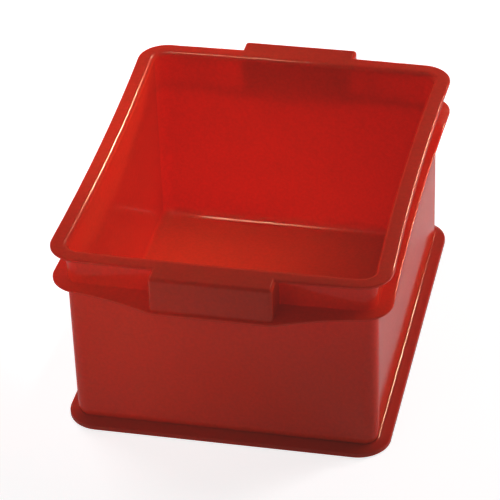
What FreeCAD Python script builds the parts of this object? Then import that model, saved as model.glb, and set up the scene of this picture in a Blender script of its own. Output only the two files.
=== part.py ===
import FreeCAD, Part
import math
import os

import Sketcher

# Art supply box: a thin-walled tub with a bowed mouth, a turned-out rim, a winged flange below it and a
# hollow grip at each end, standing in its own dished lid. Millimetres, +Z up, the long walls along Y, origin
# on the ground under the middle of the lid.

Vector = FreeCAD.Vector

doc = FreeCAD.newDocument("art_supply_box")

SIZES = (
    ("box_width", "245", "outside of the tub walls at the mouth, across"),
    ("box_length", "305.5", "outside of the tub walls at the mouth, along"),
    ("tub_height", "164.5", "underside of the tub to the top of its rim"),
    ("wall", "2.4", "thickness of the tub walls and floor"),
    ("base_inset", "1", "mould draft: each wall stands this much further in at the base"),
    ("corner_radius", "13", "upright corners of the walls at the mouth"),
    ("floor_corner", "0.6", "plan radius that is left at the corners of the flat floor"),
    ("side_bow", "3.6", "the long walls lean in by this at the middle of the mouth"),
    ("end_bow", "1.7", "the short walls swell out by this at the middle of the mouth"),
    ("rim_reach", "11.5", "the rim stands out from the walls"),
    ("rim_thick", "2.6", "thickness of the rim"),
    ("mouth_round", "4", "inner edge of the rim"),
    ("edge_round", "1.1", "upper outer edge of the rim"),
    ("edge_break", "0.7", "other outer edges of the rim and the flange"),
    ("flange_drop", "29.2", "top of the rim to the top of the flange"),
    ("flange_thick", "2.6", "thickness of the flange"),
    ("grip_width", "96", "width of each grip"),
    ("grip_reach", "27.3", "the grips stand out from the walls"),
    ("grip_wall", "2.4", "thickness of the grips"),
    ("grip_round", "3", "outer edges of the grips"),
    ("grip_lip", "2.5", "the flange runs past the face of each grip"),
    ("nose_inset", "6", "the straight front of the flange ends this far inside each side of the grip"),
    ("nose_radius", "26", "the flange turns back at each side of the grip"),
    ("wing_radius", "260", "hollow sweep of the flange from grip to corner"),
    ("lid_thick", "2", "thickness of the lid"),
    ("lid_reach", "8.3", "the skirt of the lid stands out from the base of the tub"),
    ("lid_slack", "11", "the lid is longer than the base of the tub, which stands at its front end"),
    ("lid_corner", "26", "corners of the skirt of the lid"),
    ("ridge_width", "1.5", "crown of the ridge round the dish of the lid"),
    ("shoulder_drop", "3.1", "fall of the sloping shoulder of the lid"),
    ("skirt_fall", "3.7", "upright part of the skirt below the shoulder"),
    ("shoulder_round", "1.5", "outer edge of the shoulder"),
    ("plug_depth", "1", "the dish reaches below the edge of the skirt and centres the lid in the mouth"),
    ("seat_gap", "0.3", "clearance between tub and lid"),
)

FITS = (
    ("half_width", "=box_width / 2"),
    ("half_length", "=box_length / 2"),
    ("base_z", "=lid_thick + seat_gap"),
    ("floor_z", "=base_z + wall"),
    ("rim_z", "=base_z + tub_height"),
    ("rim_under", "=rim_z - rim_thick"),
    ("flange_top", "=rim_z - flange_drop"),
    ("flange_under", "=flange_top - flange_thick"),
    ("rim_round", "=min(edge_round; 0.5 * rim_thick)"),
    ("ledge_break", "=min(edge_break; 0.4 * rim_thick; 0.4 * flange_thick)"),
    ("base_width", "=box_width - 2 * base_inset"),
    ("base_length", "=box_length - 2 * base_inset"),
    ("base_corner", "=corner_radius - base_inset"),
    ("cavity_inset", "=0 - wall"),
    ("cavity_corner", "=base_corner - wall"),
    ("floor_round", "=cavity_corner - floor_corner"),
    ("base_round", "=floor_round + wall"),
    ("foot_height", "=base_round + wall"),
    ("foot_z", "=base_z + foot_height"),
    ("foot_depth", "=foot_z - floor_z"),
    ("collar_z", "=flange_under - wall"),
    ("collar_height", "=rim_z - collar_z"),
    ("side_radius", "=(half_length ^ 2 + side_bow ^ 2) / (2 * side_bow)"),
    ("side_centre", "=half_width - side_bow + side_radius"),
    ("end_radius", "=(half_width ^ 2 + end_bow ^ 2) / (2 * end_bow)"),
    ("end_centre", "=half_length + end_bow - end_radius"),
    ("mouth_side", "=side_radius + wall"),
    ("mouth_end", "=end_radius - wall"),
    ("mouth_corner", "=corner_radius - wall"),
    ("rim_side", "=side_radius - rim_reach"),
    ("rim_end", "=end_radius + rim_reach"),
    ("rim_corner", "=corner_radius + rim_reach"),
    ("corner_centre", "=half_length - corner_radius"),
    ("grip_face", "=half_length + grip_reach"),
    ("nose_face", "=grip_face + grip_lip"),
    ("grip_half", "=grip_width / 2"),
    ("nose_half", "=grip_half - nose_inset"),
    ("grip_root", "=half_length - wall / 2"),
    ("grip_length", "=grip_face - grip_root"),
    ("grip_shoulder", "=rim_z - grip_round"),
    ("grip_crown", "=grip_half - grip_round"),
    ("hollow_half", "=grip_half - grip_wall"),
    ("hollow_face", "=grip_face - grip_wall"),
    ("hollow_root", "=half_length + end_bow + grip_wall / 4"),
    ("hollow_height", "=rim_z - flange_under - grip_wall"),
    ("lid_length", "=base_length + lid_slack"),
    ("lid_shift", "=lid_slack / 2"),
    ("dish_centre", "=0 - base_round"),
    ("dish_level", "=base_z + base_round"),
    ("dish_inside", "=base_round + seat_gap"),
    ("dish_outside", "=dish_inside + lid_thick"),
    ("dish_edge", "=base_width / 2 + dish_centre"),
    ("dish_corner", "=base_corner + dish_centre"),
    ("skirt_top", "=plug_depth + skirt_fall"),
    ("ridge_z", "=skirt_top + shoulder_drop"),
    ("ridge_inner", "=dish_centre + sqrt(dish_inside ^ 2 - (dish_level - ridge_z) ^ 2)"),
    ("ridge_inner_edge", "=base_width / 2 + ridge_inner"),
    ("ridge_inner_corner", "=base_corner + ridge_inner"),
    ("ridge_outer", "=ridge_inner + ridge_width"),
    ("ridge_outer_edge", "=base_width / 2 + ridge_outer"),
    ("ridge_outer_corner", "=base_corner + ridge_outer"),
    ("channel_z", "=ridge_z - lid_thick"),
    ("channel_edge", "=dish_edge + sqrt(dish_outside ^ 2 - (dish_level - channel_z) ^ 2)"),
    ("skirt_inner", "=lid_reach - lid_thick"),
    ("skirt_inner_corner", "=lid_corner - lid_thick"),
    ("skirt_under", "=skirt_top - lid_thick + shoulder_drop * lid_thick / (lid_reach - ridge_outer)"),
    ("skirt_hollow", "=skirt_under - plug_depth"),
)

dims = doc.addObject("Spreadsheet::Sheet", "dims")
row = 0
for alias, number, meaning in SIZES:
    row = row + 1
    dims.set("A%d" % row, meaning)
    dims.set("B%d" % row, number)
    dims.setAlias("B%d" % row, alias)
for alias, formula in FITS:
    row = row + 1
    dims.set("B%d" % row, formula)
    dims.setAlias("B%d" % row, alias)
doc.recompute()


def size(alias):
    """Read one cell of the sheet as a number."""
    return float(getattr(dims, alias))


def origin_plane(body, role):
    """Find one of the body's own origin planes."""
    return [item for item in body.Origin.OriginFeatures if item.Role == role][0]


def new_sketch(body, name, role="XY_Plane", level=None, flip=1):
    """Start a sketch on an origin plane of the body, lifted off it to a level of the sheet."""
    sketch = body.newObject("Sketcher::SketchObject", name)
    sketch.AttachmentSupport = [(origin_plane(body, role), "")]
    sketch.MapMode = "FlatFace"
    if level:
        sketch.setExpression("AttachmentOffset.Base.z", "%d * dims.%s" % (flip, level))
    return sketch


def bind(sketch, constraint, alias):
    """Add a sized constraint to the sketch and tie it to a cell."""
    index = sketch.addConstraint(constraint)
    sketch.setExpression("Constraints[%d]" % index, "dims." + alias)


def pin(sketch, geometry, point, across=None, along=None, flip_x=1, flip_y=1):
    """Hold a point of the sketch at cells measured from the origin."""
    for kind, alias, flip in (("DistanceX", across, flip_x), ("DistanceY", along, flip_y)):
        if alias is None:
            continue
        index = sketch.addConstraint(Sketcher.Constraint(kind, -1, 1, geometry, point, flip * size(alias)))
        sketch.setExpression("Constraints[%d]" % index, "%d * dims.%s" % (flip, alias))


def arc_between(centre, radius, start, finish, hollow=False):
    """Arc about a centre from one point to the next, run the other way round where the outline is hollow."""
    first = math.atan2(start[1] - centre[1], start[0] - centre[0])
    last = math.atan2(finish[1] - centre[1], finish[0] - centre[0])
    if hollow:
        first, last = last, first
    circle = Part.Circle(Vector(centre[0], centre[1], 0), Vector(0, 0, 1), radius)
    return Part.ArcOfCircle(circle, first, last if last > first else last + 2 * math.pi)


def meeting(first, first_radius, second, second_radius, side):
    """Point at given distances from two centres, on the chosen side of the line between them."""
    gap_x = second[0] - first[0]
    gap_y = second[1] - first[1]
    gap = math.hypot(gap_x, gap_y)
    along = (gap ** 2 + first_radius ** 2 - second_radius ** 2) / (2 * gap)
    away = side * math.sqrt(first_radius ** 2 - along ** 2)
    return (first[0] + (along * gap_x - away * gap_y) / gap, first[1] + (along * gap_y + away * gap_x) / gap)


def toward(centre, other, radius):
    """Point on a circle in the direction of another point, or away from it where the radius is negative."""
    gap_x = other[0] - centre[0]
    gap_y = other[1] - centre[1]
    gap = math.hypot(gap_x, gap_y)
    return (centre[0] + radius * gap_x / gap, centre[1] + radius * gap_y / gap)


def turned(point, quarter):
    """Mirror a point of the first quarter into one of the four quarters, counted round the outline."""
    flip_x, flip_y = ((1, 1), (-1, 1), (-1, -1), (1, -1))[quarter]
    return (flip_x * point[0], flip_y * point[1])


def chain(sketch, pieces):
    """Add a closed ring of lines and arcs, each piece tangent to the next one."""
    numbers = [sketch.addGeometry(curve, False) for curve, hollow in pieces]
    for place, number in enumerate(numbers):
        after = (place + 1) % len(numbers)
        finish = 1 if pieces[place][1] else 2
        start = 2 if pieces[after][1] else 1
        sketch.addConstraint(Sketcher.Constraint("Tangent", number, finish, numbers[after], start))
    return numbers


def same_radius(sketch, numbers, alias):
    """Give several arcs one radius from the sheet."""
    bind(sketch, Sketcher.Constraint("Radius", numbers[0], size(alias)), alias)
    for number in numbers[1:]:
        sketch.addConstraint(Sketcher.Constraint("Equal", numbers[0], number))


def straight_outline(body, name, level, corner, offset=None, length="base_length"):
    """Sketch the outline of the base, or a line parallel to its sides, with rounded corners."""
    sketch = new_sketch(body, name, level=level)
    radius = size(corner)
    shift = size(offset) if offset else 0
    far = (size("base_width") / 2 + shift, size(length) / 2 + shift)
    centre = (far[0] - radius, far[1] - radius)
    ends = [(far[0], centre[1]), (centre[0], far[1])]
    pieces = []
    for quarter in range(4):
        start, finish = [turned(point, quarter) for point in (ends if quarter % 2 == 0 else ends[::-1])]
        pieces.append((arc_between(turned(centre, quarter), radius, start, finish), False))
        onward = turned(ends[1 if quarter % 2 == 0 else 0], (quarter + 1) % 4)
        pieces.append((Part.LineSegment(Vector(*finish, 0), Vector(*onward, 0)), False))
    numbers = chain(sketch, pieces)
    for number, kind in zip(numbers[1::2], ("Horizontal", "Vertical", "Horizontal", "Vertical")):
        sketch.addConstraint(Sketcher.Constraint(kind, number))
    same_radius(sketch, numbers[0::2], corner)
    sketch.addConstraint(Sketcher.Constraint("Symmetric", numbers[0], 3, numbers[4], 3, -1, 1))
    across = Sketcher.Constraint("DistanceX", numbers[3], 1, numbers[7], 1, 2 * far[0])
    along = Sketcher.Constraint("DistanceY", numbers[5], 1, numbers[1], 1, 2 * far[1])
    growth = " + 2 * dims." + offset if offset else ""
    for constraint, whole in ((across, "base_width"), (along, length)):
        index = sketch.addConstraint(constraint)
        sketch.setExpression("Constraints[%d]" % index, "dims." + whole + growth)
    return sketch


def lid_outline(body, name, level, corner, offset):
    """Sketch an outline of the lid, which is longer than the base and reaches further back."""
    sketch = straight_outline(body, name, level, corner, offset, "lid_length")
    sketch.setExpression("AttachmentOffset.Base.y", "dims.lid_shift")
    return sketch


def bowed_outline(body, name, level, side, end, corner):
    """Sketch the mouth of the tub or a line parallel to it: long sides hollow, short ends swelling."""
    sketch = new_sketch(body, name, level=level)
    right = (size("side_centre"), 0)
    top = (0, size("end_centre"))
    radius = size(corner)
    centre = meeting(right, size(side) + radius, top, size(end) - radius, -1)
    ends = [toward(right, centre, size(side)), toward(top, centre, size(end))]
    pieces = []
    for quarter in range(4):
        start, finish = [turned(point, quarter) for point in (ends if quarter % 2 == 0 else ends[::-1])]
        pieces.append((arc_between(turned(centre, quarter), radius, start, finish), False))
        onward = turned(ends[1 if quarter % 2 == 0 else 0], (quarter + 1) % 4)
        middle = turned(top, quarter) if quarter % 2 == 0 else turned(right, quarter)
        span = size(end) if quarter % 2 == 0 else size(side)
        pieces.append((arc_between(middle, span, finish, onward, quarter % 2 == 1), quarter % 2 == 1))
    numbers = chain(sketch, pieces)
    same_radius(sketch, numbers[0::2], corner)
    same_radius(sketch, [numbers[1], numbers[5]], end)
    same_radius(sketch, [numbers[3], numbers[7]], side)
    for number, flip in ((numbers[1], 1), (numbers[5], -1)):
        sketch.addConstraint(Sketcher.Constraint("PointOnObject", number, 3, -2))
        pin(sketch, number, 3, along="end_centre", flip_y=flip)
    for number, flip in ((numbers[3], -1), (numbers[7], 1)):
        sketch.addConstraint(Sketcher.Constraint("PointOnObject", number, 3, -1))
        pin(sketch, number, 3, across="side_centre", flip_x=flip)
    return sketch


def winged_outline(body, name, level):
    """Sketch the flange: parallel to the rim along the sides, sweeping out past a grip at each end."""
    sketch = new_sketch(body, name, level=level)
    right = (size("side_centre"), 0)
    corner_radius = size("rim_corner")
    nose_radius = size("nose_radius")
    wing_radius = size("wing_radius")
    level_y = size("corner_centre")
    reach = size("rim_side") + corner_radius
    corner = (right[0] - math.sqrt(reach ** 2 - level_y ** 2), level_y)
    nose = (size("nose_half"), size("nose_face") - nose_radius)
    wing = meeting(corner, wing_radius + corner_radius, nose, wing_radius + nose_radius, -1)
    joints = [
        toward(right, corner, size("rim_side")),
        toward(corner, wing, corner_radius),
        toward(nose, wing, nose_radius),
        (nose[0], size("nose_face")),
    ]
    centres = [(corner, corner_radius, False), (wing, wing_radius, True), (nose, nose_radius, False)]
    pieces = []
    for quarter in range(4):
        forward = quarter % 2 == 0
        for step in (range(3) if forward else range(2, -1, -1)):
            centre, radius, hollow = centres[step]
            order = (step, step + 1) if forward else (step + 1, step)
            start, finish = [turned(joints[place], quarter) for place in order]
            pieces.append((arc_between(turned(centre, quarter), radius, start, finish, hollow), hollow))
        onward = turned(joints[3 if forward else 0], (quarter + 1) % 4)
        if forward:
            pieces.append((Part.LineSegment(Vector(*finish, 0), Vector(*onward, 0)), False))
        else:
            pieces.append((arc_between(turned(right, quarter), size("rim_side"), finish, onward, True), True))
    numbers = chain(sketch, pieces)
    corners = [numbers[0], numbers[6], numbers[8], numbers[14]]
    noses = [numbers[2], numbers[4], numbers[10], numbers[12]]
    wings = [numbers[1], numbers[5], numbers[9], numbers[13]]
    same_radius(sketch, corners, "rim_corner")
    same_radius(sketch, wings, "wing_radius")
    same_radius(sketch, noses, "nose_radius")
    same_radius(sketch, [numbers[7], numbers[15]], "rim_side")
    for number, flip in ((numbers[7], -1), (numbers[15], 1)):
        sketch.addConstraint(Sketcher.Constraint("PointOnObject", number, 3, -1))
        pin(sketch, number, 3, across="side_centre", flip_x=flip)
    for quarter in range(4):
        flip_x, flip_y = turned((1, 1), quarter)
        pin(sketch, corners[quarter], 3, along="corner_centre", flip_y=flip_y)
        pin(sketch, noses[quarter], 3, across="nose_half", flip_x=flip_x)
    for number, flip in ((numbers[3], 1), (numbers[11], -1)):
        sketch.addConstraint(Sketcher.Constraint("Horizontal", number))
        pin(sketch, number, 1, along="nose_face", flip_y=flip)
    return sketch


def grip_section(body, name, flip):
    """Sketch the front of a grip: upright sides, a flat crown and rounded shoulders."""
    sketch = new_sketch(body, name, "XZ_Plane", "grip_root", flip)
    places = [("grip_half", "flange_under", 1), ("grip_half", "grip_shoulder", 1), ("grip_crown", "rim_z", 1)]
    places = places + [(across, up, -1) for across, up, sign in places[::-1]]
    points = [(sign * size(across), size(up)) for across, up, sign in places]
    curves = []
    for place, (across, up, sign) in enumerate(places):
        start = points[place]
        finish = points[(place + 1) % 6]
        if place in (1, 3):
            centre = (sign * size("grip_crown"), size("grip_shoulder"))
            curves.append(arc_between(centre, size("grip_round"), start, finish))
        else:
            curves.append(Part.LineSegment(Vector(*start, 0), Vector(*finish, 0)))
    numbers = [sketch.addGeometry(curve, False) for curve in curves]
    for place, (across, up, sign) in enumerate(places):
        after = numbers[(place + 1) % 6]
        sketch.addConstraint(Sketcher.Constraint("Coincident", numbers[place], 2, after, 1))
        pin(sketch, numbers[place], 1, across, up, sign)
    for number in (numbers[1], numbers[3]):
        pin(sketch, number, 3, along="grip_shoulder")
    return sketch


def hollow_plan(body, name, flip):
    """Sketch the plan of the hollow inside a grip, at one end of the tub."""
    sketch = new_sketch(body, name, level="flange_under")
    corners = [(-1, "hollow_root"), (1, "hollow_root"), (1, "hollow_face"), (-1, "hollow_face")]
    points = [Vector(sign * size("hollow_half"), flip * size(reach), 0) for sign, reach in corners]
    lines = [Part.LineSegment(points[k], points[(k + 1) % 4]) for k in range(4)]
    numbers = [sketch.addGeometry(line, False) for line in lines]
    for k, (sign, reach) in enumerate(corners):
        sketch.addConstraint(Sketcher.Constraint("Coincident", numbers[k], 2, numbers[(k + 1) % 4], 1))
        pin(sketch, numbers[k], 1, "hollow_half", reach, sign, flip)
    return sketch


def add(body, kind, name, profile, **settings):
    """Add a feature to the body on a sketch, with its plain settings."""
    feature = body.newObject("PartDesign::" + kind, name)
    feature.Profile = profile
    for key, value in settings.items():
        setattr(feature, key, value)
    profile.Visibility = False
    return feature


def raise_pad(body, name, profile, length, kind="Pad", flip=False):
    """Pad or pocket a sketch by a length of the sheet."""
    feature = add(body, kind, name, profile, Type="Length", Reversed=flip)
    feature.setExpression("Length", "dims." + length)
    doc.recompute()
    return feature


def dress_edges(body, name, reach, wanted, kind="Fillet", setting="Radius"):
    """Round or bevel the edges of the body's tip that the test picks."""
    doc.recompute()
    base = body.Tip
    picked = ["Edge%d" % (k + 1) for k, edge in enumerate(base.Shape.Edges) if wanted(edge)]
    feature = body.newObject("PartDesign::" + kind, name)
    feature.Base = (base, picked)
    feature.setExpression(setting, "dims." + reach)
    doc.recompute()
    return feature


def lies_at(edge, *levels):
    """Tell whether an edge lies flat at one of some levels of the sheet."""
    box = edge.BoundBox
    return any(abs(box.ZMin - size(level)) < 1e-3 and abs(box.ZMax - size(level)) < 1e-3 for level in levels)


def middle_of(edge):
    """Point half-way along an edge."""
    return edge.valueAt((edge.FirstParameter + edge.LastParameter) / 2)


def within_walls(edge):
    """Tell whether an edge lies on or inside the outline of the walls."""
    middle = middle_of(edge)
    margin = size("wall") / 2
    across = size("half_width") + margin
    along = size("half_length") + size("end_bow") + margin
    return abs(middle.x) < across and abs(middle.y) < along


def on_grip_face(edge):
    """Tell whether an edge bounds the face of a grip, above the flange."""
    box = edge.BoundBox
    reach = min(abs(box.YMin), abs(box.YMax))
    flat = box.YLength < 1e-3 and abs(reach - size("grip_face")) < 1e-3
    return flat and middle_of(edge).z > size("flange_top") + size("grip_round") / 2


tub = doc.addObject("PartDesign::Body", "tub")
tub.Label = "tub"

mouth = ("side_radius", "end_radius", "corner_radius")
opening = ("mouth_side", "mouth_end", "mouth_corner")
base_outline = straight_outline(tub, "base_outline", "base_z", "base_corner")
raise_pad(tub, "foot", base_outline, "foot_height")
foot_outline = straight_outline(tub, "foot_outline", "foot_z", "base_corner")
wall_outline = bowed_outline(tub, "wall_outline", "collar_z", *mouth)
add(tub, "AdditiveLoft", "walls", wall_outline, Sections=[foot_outline], Ruled=True)
collar_outline = bowed_outline(tub, "collar_outline", "collar_z", *mouth)
raise_pad(tub, "collar", collar_outline, "collar_height")

rim_outline = bowed_outline(tub, "rim_outline", "rim_under", "rim_side", "rim_end", "rim_corner")
raise_pad(tub, "rim", rim_outline, "rim_thick")
flange_outline = winged_outline(tub, "flange_outline", "flange_under")
raise_pad(tub, "flange", flange_outline, "flange_thick")
dress_edges(tub, "rim_edge", "rim_round", lambda edge: lies_at(edge, "rim_z"))
ledges = ("rim_under", "flange_top", "flange_under")
dress_edges(
    tub,
    "ledge_edges",
    "ledge_break",
    lambda edge: lies_at(edge, *ledges) and not within_walls(edge),
    "Chamfer",
    "Size",
)

for end, flip in (("front", 1), ("rear", -1)):
    section = grip_section(tub, end + "_grip_section", flip)
    raise_pad(tub, end + "_grip", section, "grip_length", flip=flip < 0)
dress_edges(tub, "grip_edges", "grip_round", on_grip_face)
for end, flip in (("front", -1), ("rear", 1)):
    plan = hollow_plan(tub, end + "_hollow_plan", flip)
    raise_pad(tub, end + "_hollow", plan, "hollow_height", "Pocket", True)

mouth_outline = bowed_outline(tub, "mouth_outline", "rim_z", *opening)
raise_pad(tub, "mouth", mouth_outline, "collar_height", "Pocket")
inside_top = bowed_outline(tub, "inside_top", "collar_z", *opening)
inside_foot = straight_outline(tub, "inside_foot", "foot_z", "cavity_corner", "cavity_inset")
add(tub, "SubtractiveLoft", "inside", inside_top, Sections=[inside_foot], Ruled=True)
floor_outline = straight_outline(tub, "floor_outline", "foot_z", "cavity_corner", "cavity_inset")
raise_pad(tub, "floor", floor_outline, "foot_depth", "Pocket")
dress_edges(tub, "floor_edge", "floor_round", lambda edge: lies_at(edge, "floor_z"))
dress_edges(tub, "base_edge", "base_round", lambda edge: lies_at(edge, "base_z"))
dress_edges(tub, "mouth_edge", "mouth_round", lambda edge: lies_at(edge, "rim_z") and within_walls(edge))

lid = doc.addObject("PartDesign::Body", "lid")
lid.Label = "lid"

skirt_outline = lid_outline(lid, "skirt_outline", "plug_depth", "lid_corner", "lid_reach")
raise_pad(lid, "skirt", skirt_outline, "skirt_fall")
shoulder_outline = lid_outline(lid, "shoulder_outline", "skirt_top", "lid_corner", "lid_reach")
ridge_outline = lid_outline(lid, "ridge_outline", "ridge_z", "ridge_outer_corner", "ridge_outer")
add(lid, "AdditiveLoft", "shoulder", ridge_outline, Sections=[shoulder_outline], Ruled=True)
dress_edges(lid, "shoulder_edge", "shoulder_round", lambda edge: lies_at(edge, "skirt_top"))

hollow_outline = lid_outline(lid, "hollow_outline", "plug_depth", "skirt_inner_corner", "skirt_inner")
raise_pad(lid, "skirt_inside", hollow_outline, "skirt_hollow", "Pocket", True)
under_outline = lid_outline(lid, "under_outline", "skirt_under", "skirt_inner_corner", "skirt_inner")
channel_outline = lid_outline(lid, "channel_outline", "channel_z", "ridge_outer_corner", "ridge_outer")
add(lid, "SubtractiveLoft", "shoulder_inside", channel_outline, Sections=[under_outline], Ruled=True)
dish_mouth = lid_outline(lid, "dish_mouth", "channel_z", "ridge_inner_corner", "ridge_inner")
raise_pad(lid, "dish_opening", dish_mouth, "lid_thick", "Pocket", True)

dish_path = lid_outline(lid, "dish_path", None, "ridge_inner_corner", "ridge_inner")
dish_section = new_sketch(lid, "dish_section", "XZ_Plane")
dish_middle = (size("dish_edge"), size("dish_level"))
section_points = {
    "foot": ("dish_edge", None),
    "bed": ("dish_edge", "lid_thick"),
    "lip": ("ridge_inner_edge", "ridge_z"),
    "crown": ("ridge_outer_edge", "ridge_z"),
    "root": ("channel_edge", "channel_z"),
}
places = {name: (size(across), size(up) if up else 0) for name, (across, up) in section_points.items()}
section_curves = [
    ("foot", Part.LineSegment(Vector(*places["foot"], 0), Vector(*places["bed"], 0)), False),
    ("bed", arc_between(dish_middle, size("dish_inside"), places["bed"], places["lip"]), False),
    ("lip", Part.LineSegment(Vector(*places["lip"], 0), Vector(*places["crown"], 0)), False),
    ("crown", Part.LineSegment(Vector(*places["crown"], 0), Vector(*places["root"], 0)), False),
    ("root", arc_between(dish_middle, size("dish_outside"), places["root"], places["foot"], True), True),
]
section_numbers = [dish_section.addGeometry(curve, False) for name, curve, hollow in section_curves]
for place, (name, curve, hollow) in enumerate(section_curves):
    after = (place + 1) % len(section_curves)
    finish = 1 if hollow else 2
    start = 2 if section_curves[after][2] else 1
    dish_section.addConstraint(
        Sketcher.Constraint("Coincident", section_numbers[place], finish, section_numbers[after], start)
    )
    pin(dish_section, section_numbers[place], 3 - finish, *section_points[name])
dish_section.addConstraint(Sketcher.Constraint("PointOnObject", section_numbers[0], 1, -1))
for number in (section_numbers[1], section_numbers[4]):
    pin(dish_section, number, 3, along="dish_level")
add(lid, "AdditivePipe", "dish", dish_section, Spine=(dish_path, []))
panel_outline = lid_outline(lid, "panel_outline", None, "dish_corner", "dish_centre")
raise_pad(lid, "panel", panel_outline, "lid_thick")

doc.recompute()
for item in doc.Objects:
    if "Invalid" in item.State or "Error" in item.State:
        raise RuntimeError("%s could not be built" % item.Label)
for body in (tub, lid):
    if body.Shape.isNull() or not body.Shape.isValid() or len(body.Shape.Solids) != 1:
        raise RuntimeError("%s is not one sound solid" % body.Label)

os.makedirs("parts", exist_ok=True)
for body in (tub, lid):
    body.Shape.exportStep("parts/%s.step" % body.Label)
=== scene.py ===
import logging
import math
from dataclasses import dataclass, field
from enum import Enum

import bmesh
import bpy
from mathutils import Matrix, Vector


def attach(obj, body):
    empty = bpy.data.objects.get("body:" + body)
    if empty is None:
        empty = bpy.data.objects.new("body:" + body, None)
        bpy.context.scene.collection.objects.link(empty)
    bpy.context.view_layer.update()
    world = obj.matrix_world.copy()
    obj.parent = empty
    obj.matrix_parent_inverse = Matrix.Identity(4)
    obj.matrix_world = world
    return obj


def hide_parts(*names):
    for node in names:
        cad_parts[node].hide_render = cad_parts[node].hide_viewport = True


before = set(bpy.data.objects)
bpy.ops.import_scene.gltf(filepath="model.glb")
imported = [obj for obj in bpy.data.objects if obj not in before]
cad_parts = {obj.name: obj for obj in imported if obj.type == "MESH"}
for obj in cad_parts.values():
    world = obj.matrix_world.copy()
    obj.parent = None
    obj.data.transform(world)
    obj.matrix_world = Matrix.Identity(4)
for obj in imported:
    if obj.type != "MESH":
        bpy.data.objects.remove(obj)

LOG = logging.getLogger("art_supply_box")

Colour = tuple[float, float, float]
Point = tuple[float, float, float]
Socket = bpy.types.NodeSocket


class Shade(Enum):
    """Linear colours of the moulded plastic and of the studio."""

    TUB_RED = (0.92, 0.034, 0.008)
    TUB_DEEP = (0.76, 0.027, 0.007)
    LID_RED = (0.6, 0.026, 0.009)
    LID_DEEP = (0.52, 0.022, 0.008)
    FLOOR = (0.7, 0.7, 0.74)
    WHITE = (1.0, 1.0, 1.0)
    WARM_WHITE = (1.0, 0.97, 0.93)
    AMBER_WHITE = (1.0, 0.74, 0.46)


class Shows(Enum):
    """Where a light shows: in the tone of the plastic, in its gloss or in both."""

    TONE = (True, False)
    GLINT = (False, True)
    BOTH = (True, True)


@dataclass(frozen=True)
class Speckle:
    """Soft noise: patches to a metre, number of finer layers and their strength."""

    scale: float
    detail: float
    roughness: float = 0.5


@dataclass(frozen=True)
class Span:
    """Two limits of a value, and what it becomes at each of them."""

    low: float
    high: float
    start: float
    end: float


class Nodes:
    """Short way to lay out and link the nodes of one material."""

    MIX_FIRST = 6
    MIX_SECOND = 7
    MIX_RESULT = 2

    def __init__(self, material: bpy.types.Material) -> None:
        """Start a fresh tree with its object coordinates and its output.

        Args:
            material: the material whose tree is filled.
        """
        material.use_nodes = True
        self.tree = material.node_tree
        self.tree.nodes.clear()
        self.place = self.add("TexCoord").outputs["Object"]
        self.output = self.add("OutputMaterial")

    def add(self, kind: str, **values: object) -> bpy.types.Node:
        """Add a node and set its properties and input sockets.

        Args:
            kind: the node's type name, without its ShaderNode prefix.
            values: properties by name, or sockets by name with spaces written as underscores.

        Returns:
            The new node.
        """
        node = self.tree.nodes.new("ShaderNode" + kind)
        sockets = {}
        for socket in node.inputs:
            sockets.setdefault(socket.name.replace(" ", "_"), socket)
        for name, value in values.items():
            if name in sockets:
                sockets[name].default_value = value
            else:
                setattr(node, name, value)
        return node

    def link(self, source: Socket, target: Socket) -> None:
        """Join an output socket to an input socket."""
        self.tree.links.new(source, target)

    def shader(self, **values: object) -> bpy.types.Node:
        """Add the surface shader and join it to the output.

        Args:
            values: input sockets by name with spaces written as underscores.

        Returns:
            The shader's node.
        """
        node = self.add("BsdfPrincipled", **values)
        self.link(node.outputs["BSDF"], self.output.inputs["Surface"])
        return node

    def noise(self, speckle: Speckle) -> Socket:
        """Add soft noise on object coordinates.

        Args:
            speckle: the noise's patches and layers.

        Returns:
            The noise, mostly between 0.3 and 0.7.
        """
        node = self.add("TexNoise", Scale=speckle.scale, Detail=speckle.detail, Roughness=speckle.roughness)
        self.link(self.place, node.inputs["Vector"])
        return node.outputs["Fac"]

    def ramp(self, fac: Socket, span: Span) -> Socket:
        """Map a value between two limits onto a new span.

        Args:
            fac: the value that is mapped.
            span: the limits and what they become.

        Returns:
            The mapped value.
        """
        node = self.add(
            "MapRange", From_Min=span.low, From_Max=span.high, To_Min=span.start, To_Max=span.end,
        )
        self.link(fac, node.inputs["Value"])
        return node.outputs["Result"]

    def blend(self, fac: Socket, first: Colour, second: Colour) -> Socket:
        """Mix two colours.

        Args:
            fac: share of the second colour.
            first: colour where fac is 0.
            second: colour where fac is 1.

        Returns:
            The mixed colour.
        """
        node = self.add("Mix", data_type="RGBA")
        node.inputs[self.MIX_FIRST].default_value = (*first, 1.0)
        node.inputs[self.MIX_SECOND].default_value = (*second, 1.0)
        self.link(fac, node.inputs["Factor"])
        return node.outputs[self.MIX_RESULT]


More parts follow.
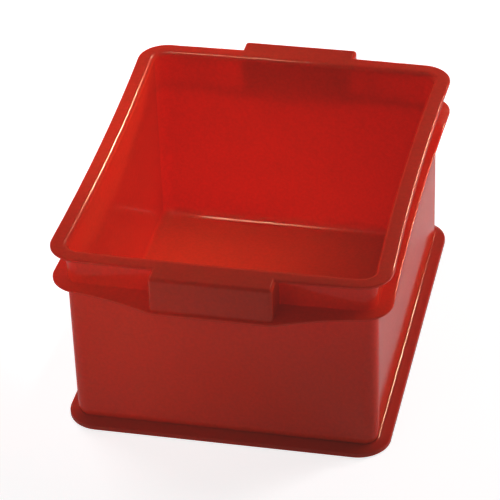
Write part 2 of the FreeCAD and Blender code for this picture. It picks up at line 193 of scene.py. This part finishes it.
@dataclass(frozen=True)
class PlasticFinish:
    """Glossy moulded plastic that lets a little light through its thin walls."""

    name: str
    colour: Colour
    deep: Colour
    ior: float = 1.34
    subsurface: float = 0.85
    scatter: float = 0.008
    scatter_reach: Colour = (1.0, 0.06, 0.04)
    cloud: Speckle = Speckle(scale=9.0, detail=3.0, roughness=0.55)
    cloud_share: Span = Span(low=0.3, high=0.62, start=0.2, end=0.5)
    grain: Speckle = Speckle(scale=380.0, detail=3.0, roughness=0.6)
    grain_share: Span = Span(low=0.35, high=0.65, start=0.0, end=0.5)
    smear: Speckle = Speckle(scale=38.0, detail=4.0, roughness=0.6)
    roughness: Span = Span(low=0.3, high=0.7, start=0.08, end=0.12)
    peel: Speckle = Speckle(scale=420.0, detail=2.0)
    peel_strength: float = 0.35
    peel_depth: float = 0.00002

    def build(self) -> bpy.types.Material:
        """Make the material.

        Returns:
            A procedural material on object coordinates.
        """
        material = bpy.data.materials.new(self.name)
        nodes = Nodes(material)
        shader = nodes.shader(
            IOR=self.ior,
            Subsurface_Weight=self.subsurface,
            Subsurface_Scale=self.scatter,
            Subsurface_Radius=self.scatter_reach,
        )
        nodes.link(self.add_tone(nodes), shader.inputs["Base Color"])
        nodes.link(nodes.ramp(nodes.noise(self.smear), self.roughness), shader.inputs["Roughness"])
        nodes.link(self.add_peel(nodes), shader.inputs["Normal"])
        return material

    def add_tone(self, nodes: Nodes) -> Socket:
        """Lay a cloudy and a grainy change of tone over the plastic.

        Args:
            nodes: the material's nodes.

        Returns:
            The colour.
        """
        share = nodes.add("Math", operation="ADD")
        nodes.link(nodes.ramp(nodes.noise(self.cloud), self.cloud_share), share.inputs[0])
        nodes.link(nodes.ramp(nodes.noise(self.grain), self.grain_share), share.inputs[1])
        return nodes.blend(share.outputs["Value"], self.deep, self.colour)

    def add_peel(self, nodes: Nodes) -> Socket:
        """Give the gloss the fine unevenness of a moulded face.

        Args:
            nodes: the material's nodes.

        Returns:
            The uneven normal.
        """
        bump = nodes.add("Bump", Strength=self.peel_strength, Distance=self.peel_depth)
        nodes.link(nodes.noise(self.peel), bump.inputs["Height"])
        return bump.outputs["Normal"]


@dataclass(frozen=True)
class PaleGround:
    """Plain pale floor with a faint change of tone, lifted to white for the camera alone."""

    name: str = "pale_ground"
    colour: Colour = Shade.FLOOR.value
    roughness: float = 0.9
    glow: float = 0.1
    white: float = 0.8
    cloud: Speckle = Speckle(scale=2.0, detail=2.0)
    cloud_tone: float = 0.98

    def build(self) -> bpy.types.Material:
        """Make the material.

        Returns:
            A matt pale material that glows weakly on the box and more strongly for the camera.
        """
        material = bpy.data.materials.new(self.name)
        nodes = Nodes(material)
        shader = nodes.shader(Roughness=self.roughness, Emission_Color=(*Shade.WHITE.value, 1.0))
        seen_by_camera = nodes.add("LightPath").outputs["Is Camera Ray"]
        lift = Span(low=0.0, high=1.0, start=self.glow, end=self.white)
        nodes.link(nodes.ramp(seen_by_camera, lift), shader.inputs["Emission Strength"])
        dim = tuple(part * self.cloud_tone for part in self.colour)
        tone = nodes.blend(nodes.noise(self.cloud), dim, self.colour)
        nodes.link(tone, shader.inputs["Base Color"])
        return material


@dataclass
class Moulding:
    """One moulded piece that takes its form from its solid, with welded faces and soft edge shading."""

    node: str
    body: str
    slot: str
    finish: PlasticFinish
    weld: float = 2e-6
    sharp_angle: float = math.radians(50.0)
    shading_weight: int = 80
    piece: bpy.types.Object | None = field(default=None, init=False)

    def build(self) -> None:
        """Weld a copy of the solid and smooth its rounded faces."""
        shell = bmesh.new()
        shell.from_mesh(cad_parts[self.node].data)
        bmesh.ops.remove_doubles(shell, verts=shell.verts, dist=self.weld)
        for face in shell.faces:
            face.smooth = True
        for edge in shell.edges:
            edge.smooth = len(edge.link_faces) == 2 and edge.calc_face_angle(0.0) < self.sharp_angle
        mesh = bpy.data.meshes.new(self.node + "_shell")
        shell.to_mesh(mesh)
        shell.free()
        self.piece = bpy.data.objects.new(self.node + "_shell", mesh)
        bpy.context.scene.collection.objects.link(self.piece)
        shading = self.piece.modifiers.new("even_shading", "WEIGHTED_NORMAL")
        shading.keep_sharp = True
        shading.weight = self.shading_weight

    def dress(self) -> None:
        """Give the piece its finish and set it on its body."""
        self.piece.data.materials.append(self.finish.build())
        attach(self.piece, self.body)
        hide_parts(self.node)
        LOG.info("%s dressed, %d faces", self.piece.name, len(self.piece.data.polygons))


@dataclass
class SoftBox:
    """One soft light, aimed at the box, with its spread in degrees."""

    name: str
    place: Point
    target: Point
    size: tuple[float, float]
    power: float
    colour: Colour = Shade.WARM_WHITE.value
    spread: float = 180.0
    shows: Shows = Shows.TONE

    def build(self) -> None:
        """Hang the light in its place and aim it."""
        light = bpy.data.lights.new(self.name, "AREA")
        light.shape = "RECTANGLE"
        light.size, light.size_y = self.size
        light.energy = self.power
        light.color = self.colour
        light.spread = math.radians(self.spread)
        lamp = bpy.data.objects.new(self.name, light)
        lamp.location = self.place
        lamp.visible_diffuse, lamp.visible_glossy = self.shows.value
        aim = Vector(self.target) - Vector(self.place)
        lamp.rotation_euler = aim.to_track_quat("-Z", "Y").to_euler()
        bpy.context.scene.collection.objects.link(lamp)


BOX_MIDDLE = (0.0, 0.0, 0.1)
STUDIO_LIGHTS = (
    SoftBox("key_light", place=(-1.0, 0.8, 0.37), target=BOX_MIDDLE, size=(0.9, 0.5), power=11.0),
    SoftBox(
        "inside_light", place=(0.12, -0.15, 1.3), target=(-0.08, 0.05, 0.0),
        size=(0.06, 0.06), power=0.065, spread=17.0, shows=Shows.BOTH,
    ),
    SoftBox("upper_light", place=(0.8, 0.35, 1.0), target=BOX_MIDDLE, size=(0.4, 0.4), power=2.6),
    SoftBox("right_light", place=(1.15, 0.75, 0.33), target=BOX_MIDDLE, size=(0.3, 0.04), power=6.5),
    SoftBox(
        "wing_light", place=(-0.4, -0.8, 0.6), target=(-0.1, -0.175, 0.135),
        size=(0.1, 0.1), power=0.018, spread=18.0,
    ),
    SoftBox("front_light", place=(-0.5, -1.3, 0.3), target=(0.0, -0.1, 0.08), size=(0.5, 0.4), power=0.75),
    SoftBox(
        "edge_glint", place=(0.2, 1.61, 1.28), target=BOX_MIDDLE,
        size=(0.34, 0.24), power=17.0, colour=Shade.AMBER_WHITE.value, shows=Shows.GLINT,
    ),
    SoftBox(
        "rear_glint", place=(-0.38, 0.04, 1.45), target=(-0.03, 0.16, 0.08),
        size=(0.13, 0.3), power=0.09, colour=Shade.AMBER_WHITE.value, spread=20.0, shows=Shows.GLINT,
    ),
)


@dataclass
class Studio:
    """Pale floor, weak even surround and soft lights."""

    floor_half: float = 12.0
    floor_drop: float = 0.0004
    surround: float = 0.06
    veil: Colour = (0.01, 0.01, 0.008)
    ground: PaleGround = PaleGround()
    lights: tuple[SoftBox, ...] = STUDIO_LIGHTS

    def build(self) -> None:
        """Lay the floor, set the surround and hang the lights."""
        self.lay_floor()
        self.set_surround()
        for light in self.lights:
            light.build()
        self.set_film()
        LOG.info("studio ready with %d lights", len(self.lights))

    def lay_floor(self) -> None:
        """Lay the floor just under the box."""
        sheet = bmesh.new()
        bmesh.ops.create_grid(sheet, x_segments=1, y_segments=1, size=self.floor_half)
        bmesh.ops.translate(sheet, vec=(0.0, 0.0, -self.floor_drop), verts=sheet.verts)
        mesh = bpy.data.meshes.new("floor")
        sheet.to_mesh(mesh)
        sheet.free()
        floor = bpy.data.objects.new("floor", mesh)
        bpy.context.scene.collection.objects.link(floor)
        mesh.materials.append(self.ground.build())

    def set_surround(self) -> None:
        """Fill the space around the box with weak even light."""
        world = bpy.data.worlds.new("white_surround")
        world.use_nodes = True
        background = world.node_tree.nodes["Background"]
        background.inputs["Color"].default_value = (*Shade.WHITE.value, 1.0)
        background.inputs["Strength"].default_value = self.surround
        bpy.context.scene.world = world

    def set_film(self) -> None:
        """Show plain colours, with the faint veil of the print over the darkest tones."""
        film = bpy.context.scene.view_settings
        film.view_transform = "Standard"
        film.use_curve_mapping = True
        film.curve_mapping.black_level = tuple(-part for part in self.veil)
        film.curve_mapping.update()


@dataclass
class PhotoCamera:
    """Camera at the viewing angle of the photograph, with its angles in degrees."""

    azimuth: float = 13.11
    elevation: float = 34.26
    roll: float = -2.08
    distance: float = 2.284
    target: Point = (-0.0095, 0.0, 0.0763)
    lens: float = 201.09
    sensor: float = 36.0
    clip: tuple[float, float] = (0.05, 50.0)

    def build(self) -> None:
        """Make the camera and make it the scene's own."""
        turn, rise, tilt = (math.radians(angle) for angle in (self.azimuth, self.elevation, self.roll))
        back = Vector((math.sin(turn) * math.cos(rise), -math.cos(turn) * math.cos(rise), math.sin(rise)))
        level = Vector((math.cos(turn), math.sin(turn), 0.0))
        above = back.cross(level)
        right = math.cos(tilt) * level + math.sin(tilt) * above
        up = -math.sin(tilt) * level + math.cos(tilt) * above
        data = bpy.data.cameras.new("photo_camera")
        data.lens = self.lens
        data.sensor_width = self.sensor
        data.clip_start, data.clip_end = self.clip
        camera = bpy.data.objects.new("photo_camera", data)
        place = Matrix.Translation(Vector(self.target) + back * self.distance)
        camera.matrix_world = place @ Matrix((right, up, back)).transposed().to_4x4()
        bpy.context.scene.collection.objects.link(camera)
        bpy.context.scene.camera = camera


def main() -> None:
    """Build the box, the studio and the camera."""
    logging.basicConfig(level=logging.INFO, format="%(name)s: %(message)s")
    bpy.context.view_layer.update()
    tub_finish = PlasticFinish("tub_red", Shade.TUB_RED.value, Shade.TUB_DEEP.value)
    lid_finish = PlasticFinish("lid_red", Shade.LID_RED.value, Shade.LID_DEEP.value)
    tub = Moulding(node="tub", body="tub", slot="tub_plastic", finish=tub_finish)
    lid = Moulding(node="lid", body="lid", slot="lid_plastic", finish=lid_finish)
    for moulding in (tub, lid):
        moulding.build()
        moulding.dress()
    Studio().build()
    PhotoCamera().build()


if __name__ == "__main__":
    main()
